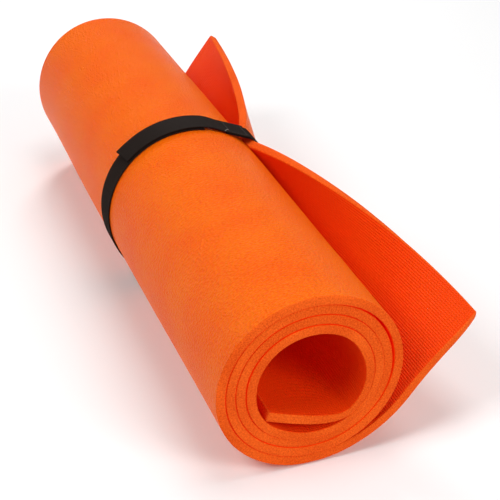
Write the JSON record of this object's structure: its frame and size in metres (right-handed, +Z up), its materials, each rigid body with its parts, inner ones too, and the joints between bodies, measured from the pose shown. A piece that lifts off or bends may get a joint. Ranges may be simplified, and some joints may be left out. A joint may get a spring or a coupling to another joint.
{
  "type": "foam sleeping pad",
  "caption": "Closed-cell foam sleeping pad rolled up with its free end flaring open, held by an elastic band with a hook-and-loop closure.",
  "frame": {"origin": "centre of the whole part's footprint box, on the surface that the roll lies on", "axes": "+X along the roll towards the end where the free end flares most, +Y across the roll towards the free end, +Z up"},
  "size_m": [0.6, 0.2162, 0.1626],
  "materials": {
    "foam": "matte",
    "elastic": "matte",
    "loop": "matte",
    "hook": "satin",
    "thread": "satin"
  },
  "bodies": {
    "roll": {"pad_roll": "foam"},
    "free_end": {"pad_free_end": "foam"},
    "strap": {"elastic_band": "elastic", "loop_tape": "loop", "hook_tape_sewn_end": "hook", "hook_tape_stitches": "thread", "loop_tape_stitches": "thread"},
    "closure": {"hook_tape": "hook"}
  },
  "joints": [
    {"name": "strap_slide", "type": "slide", "parent": "roll", "child": "strap", "axis": [1, 0, 0], "range_m": [0, 0.36], "deforming": ["pad_free_end"]},
    {"name": "closure_peel", "type": "hinge", "parent": "strap", "child": "closure", "pos_m": [-0.014, 0.0085, 0.15174], "axis": [-1, 0, 0], "range_deg": [0, 110]},
    {"name": "free_end_open", "type": "hinge", "parent": "roll", "child": "free_end", "pos_m": [0, -0.00678, 0.00676], "axis": [-1, 0, 0], "range_deg": [0, 30], "deforming": ["pad_free_end"]}
  ],
  "couplings": [
    {"joint": "free_end_open", "follows": "strap_slide", "rad_per_m": 1.454}
  ]
}
